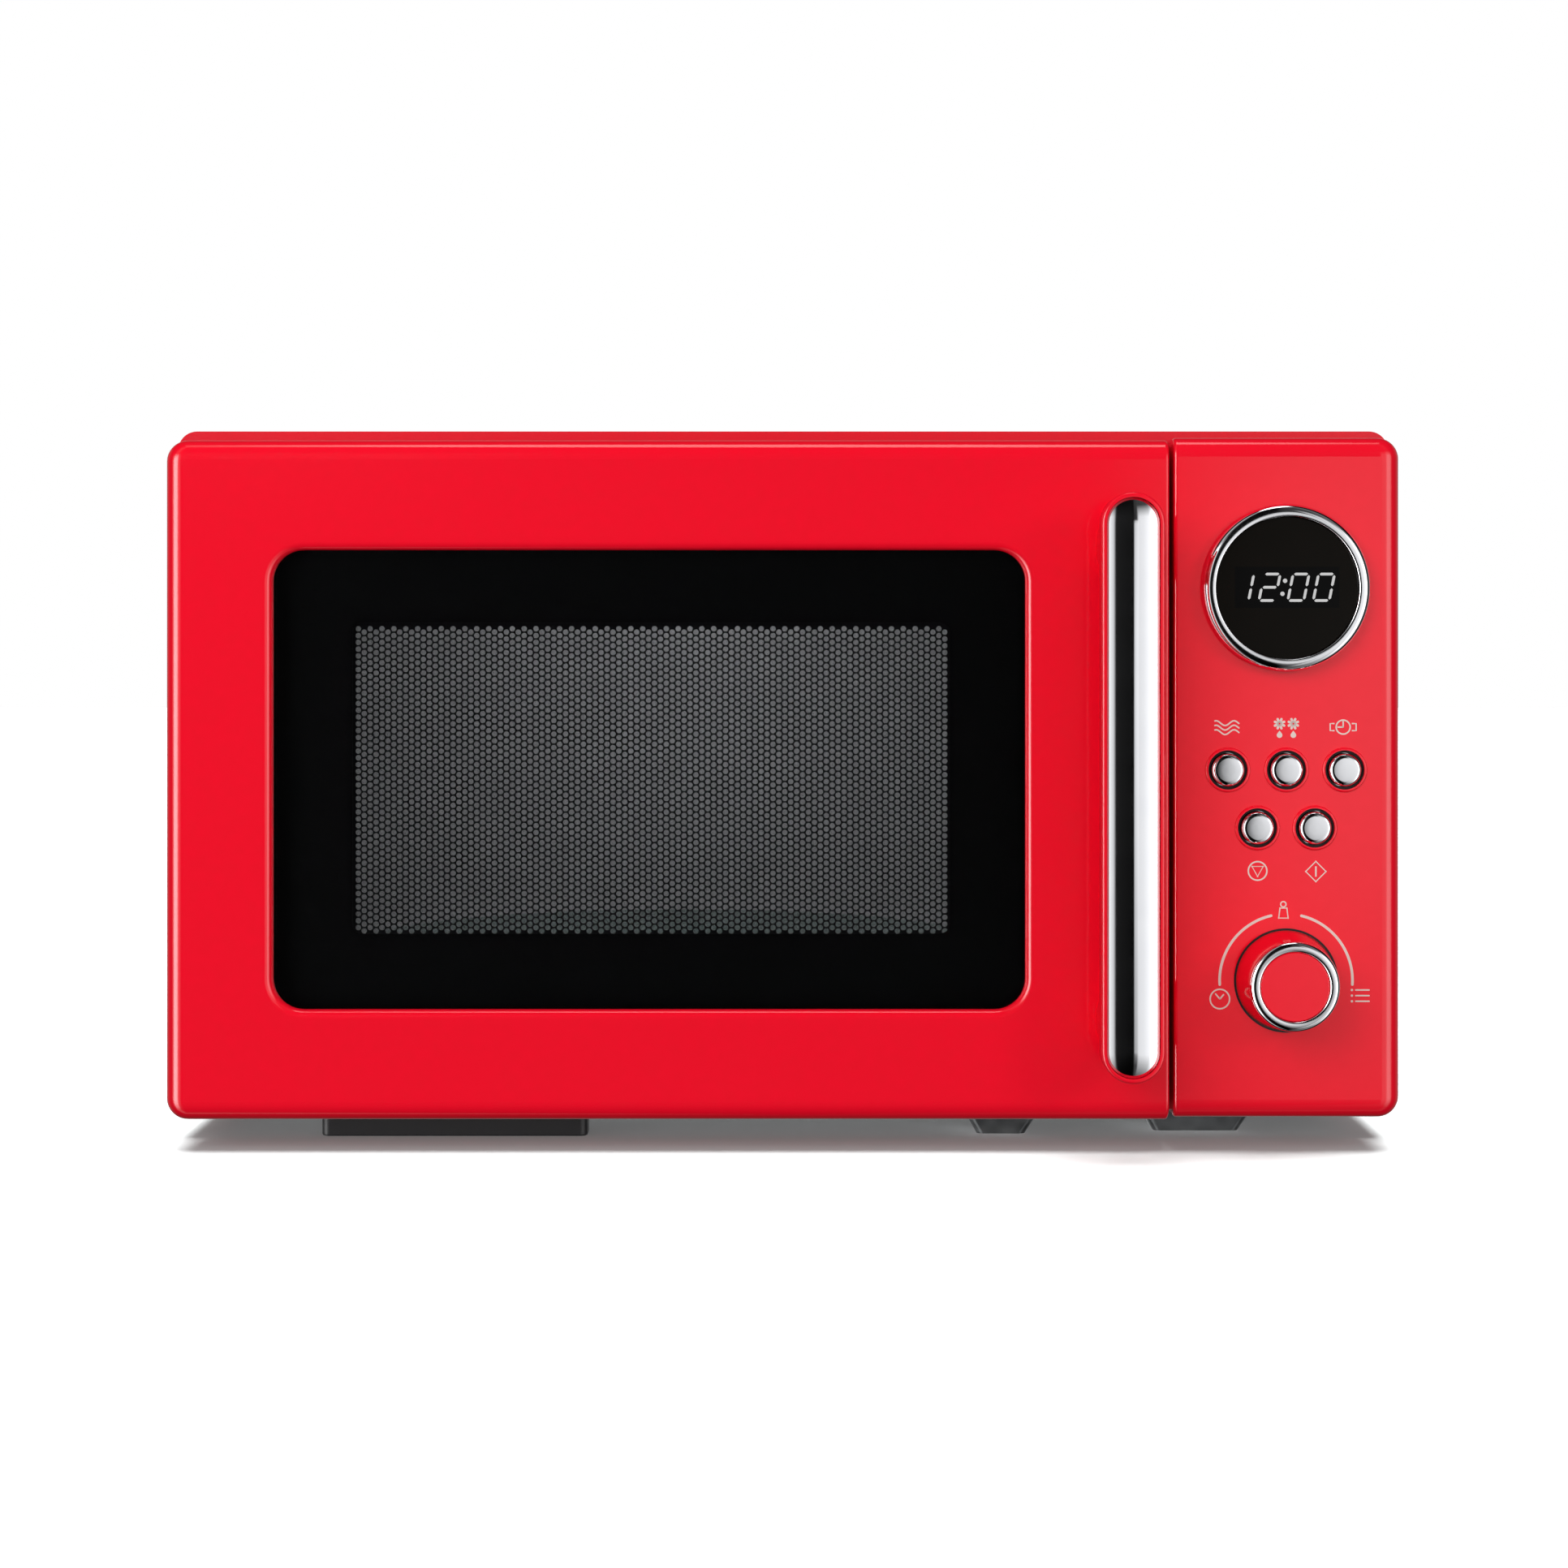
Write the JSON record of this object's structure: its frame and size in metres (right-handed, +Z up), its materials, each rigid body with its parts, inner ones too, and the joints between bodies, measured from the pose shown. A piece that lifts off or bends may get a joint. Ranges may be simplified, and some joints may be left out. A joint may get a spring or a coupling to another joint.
{
  "type": "microwave oven",
  "caption": "Countertop microwave oven with a side-hinged windowed door, bar handle, round display, push buttons, rotary knob and glass turntable.",
  "frame": {"origin": "bottom centre of the whole oven, on the surface it stands on", "axes": "+X to the right seen from the front, +Y towards the back, +Z up"},
  "size_m": [0.443, 0.357, 0.259],
  "materials": {
    "red_plastic": "gloss moulded",
    "red_steel": "gloss powder coat",
    "zinc_steel": "zinc plated, satin",
    "cavity_enamel": "easy-clean enamel",
    "bright_chrome": "bright plated",
    "black_glass": "tinted, polished",
    "black_steel": "satin black",
    "clear_film": "clear sheet",
    "clear_glass": "clear, pressed",
    "lens_black": "polished",
    "black_plastic": "moulded, fine texture",
    "grey_plastic": "moulded, fine texture",
    "white_plastic": "moulded, smooth",
    "rubber_black": "matte",
    "screw_steel": "zinc plated",
    "lamination": "varnished",
    "copper_winding": "enamelled wire",
    "bare_aluminium": "mill finish",
    "mica": "pressed sheet",
    "circuit_green": "solder mask",
    "lamp_glass": "clear"
  },
  "bodies": {
    "chassis": {"cabinet": "red_steel", "rear_panel": "zinc_steel", "base_plate": "zinc_steel", "front_foot_bar": "black_plastic", "rear_feet": "rubber_black", "front_plate": "red_steel", "hinge_brackets": "zinc_steel", "cavity": "cavity_enamel", "waveguide": "zinc_steel", "waveguide_cover": "mica", "magnetron_yoke": "zinc_steel", "magnetron_tube": "bare_aluminium", "transformer_core": "lamination", "transformer_coils": "copper_winding", "capacitor": "bare_aluminium", "hv_diode": "black_plastic", "fan_shroud": "black_plastic", "fan_motor": "lamination", "oven_lamp": "lamp_glass", "turntable_motor": "zinc_steel", "latch_bracket": "white_plastic", "microswitches": "black_plastic", "filter_board": "circuit_green", "thermal_cutouts": "black_plastic", "cord_grommet": "rubber_black", "cabinet_screws": "screw_steel", "control_panel": "red_plastic", "display_bezel": "bright_chrome", "display_lens": "lens_black", "display_module": "black_plastic", "control_board": "circuit_green", "tact_switches": "black_plastic", "encoder_body": "black_plastic"},
    "door": {"door_frame": "red_plastic", "hinge_bushes": "white_plastic", "door_glass": "black_glass", "door_screen": "black_steel", "choke_cover": "grey_plastic", "inner_window": "clear_film", "handle_body": "red_plastic", "handle_trim": "bright_chrome", "handle_screws": "screw_steel"},
    "latch": {"latch_hooks": "white_plastic", "latch_spring": "screw_steel"},
    "key_1": {"button_1": "bright_chrome"},
    "key_2": {"button_2": "bright_chrome"},
    "key_3": {"button_3": "bright_chrome"},
    "key_4": {"button_4": "bright_chrome"},
    "key_5": {"button_5": "bright_chrome"},
    "knob": {"knob_body": "red_plastic", "knob_ring": "bright_chrome", "knob_cap": "red_plastic", "encoder_shaft": "bare_aluminium"},
    "turntable": {"glass_plate": "clear_glass", "turntable_coupler": "white_plastic"},
    "ring": {"roller_ring": "white_plastic"},
    "wheel_1": {"roller_1": "white_plastic"},
    "wheel_2": {"roller_2": "white_plastic"},
    "wheel_3": {"roller_3": "white_plastic"},
    "fan": {"fan_blade": "black_plastic"}
  },
  "joints": [
    {"name": "door_hinge", "type": "hinge", "parent": "chassis", "child": "door", "pos_m": [-0.2135, -0.123, 0.13275], "axis": [0, 0, -1], "range_deg": [0, 105]},
    {"name": "latch_slide", "type": "slide", "parent": "door", "child": "latch", "axis": [0, 0, 1], "range_m": [0, 0.003], "stiffness_N_per_m": 400, "springref_m": -0.004, "deforming": ["latch_spring"]},
    {"name": "key_1_press", "type": "slide", "parent": "chassis", "child": "key_1", "axis": [0, 1, 0], "range_m": [0, 0.0012], "stiffness_N_per_m": 700, "springref_m": -0.0008},
    {"name": "key_2_press", "type": "slide", "parent": "chassis", "child": "key_2", "axis": [0, 1, 0], "range_m": [0, 0.0012], "stiffness_N_per_m": 700, "springref_m": -0.0008},
    {"name": "key_3_press", "type": "slide", "parent": "chassis", "child": "key_3", "axis": [0, 1, 0], "range_m": [0, 0.0012], "stiffness_N_per_m": 700, "springref_m": -0.0008},
    {"name": "key_4_press", "type": "slide", "parent": "chassis", "child": "key_4", "axis": [0, 1, 0], "range_m": [0, 0.0012], "stiffness_N_per_m": 700, "springref_m": -0.0008},
    {"name": "key_5_press", "type": "slide", "parent": "chassis", "child": "key_5", "axis": [0, 1, 0], "range_m": [0, 0.0012], "stiffness_N_per_m": 700, "springref_m": -0.0008},
    {"name": "knob_turn", "type": "hinge", "parent": "chassis", "child": "knob", "pos_m": [0.1789, -0.1455, 0.0618], "axis": [0, 1, 0], "continuous": true},
    {"name": "turntable_spin", "type": "hinge", "parent": "chassis", "child": "turntable", "pos_m": [-0.047, 0.02375, 0.048], "axis": [0, 0, 1], "continuous": true},
    {"name": "ring_spin", "type": "hinge", "parent": "chassis", "child": "ring", "pos_m": [-0.047, 0.02375, 0.0405], "axis": [0, 0, 1], "continuous": true},
    {"name": "wheel_1_spin", "type": "hinge", "parent": "ring", "child": "wheel_1", "pos_m": [-0.047, 0.11175, 0.0405], "axis": [0, 1, 0], "continuous": true},
    {"name": "wheel_2_spin", "type": "hinge", "parent": "ring", "child": "wheel_2", "pos_m": [-0.12321, -0.02025, 0.0405], "axis": [-0.866, -0.5, 0], "continuous": true},
    {"name": "wheel_3_spin", "type": "hinge", "parent": "ring", "child": "wheel_3", "pos_m": [0.02921, -0.02025, 0.0405], "axis": [0.866, -0.5, 0], "continuous": true},
    {"name": "fan_spin", "type": "hinge", "parent": "chassis", "child": "fan", "pos_m": [0.163, 0.137, 0.172], "axis": [0, 1, 0], "continuous": true}
  ],
  "couplings": [
    {"joint": "ring_spin", "follows": "turntable_spin", "ratio": 0.5},
    {"joint": "wheel_1_spin", "follows": "turntable_spin", "ratio": -6.1111},
    {"joint": "wheel_2_spin", "follows": "turntable_spin", "ratio": -6.1111},
    {"joint": "wheel_3_spin", "follows": "turntable_spin", "ratio": -6.1111}
  ]
}
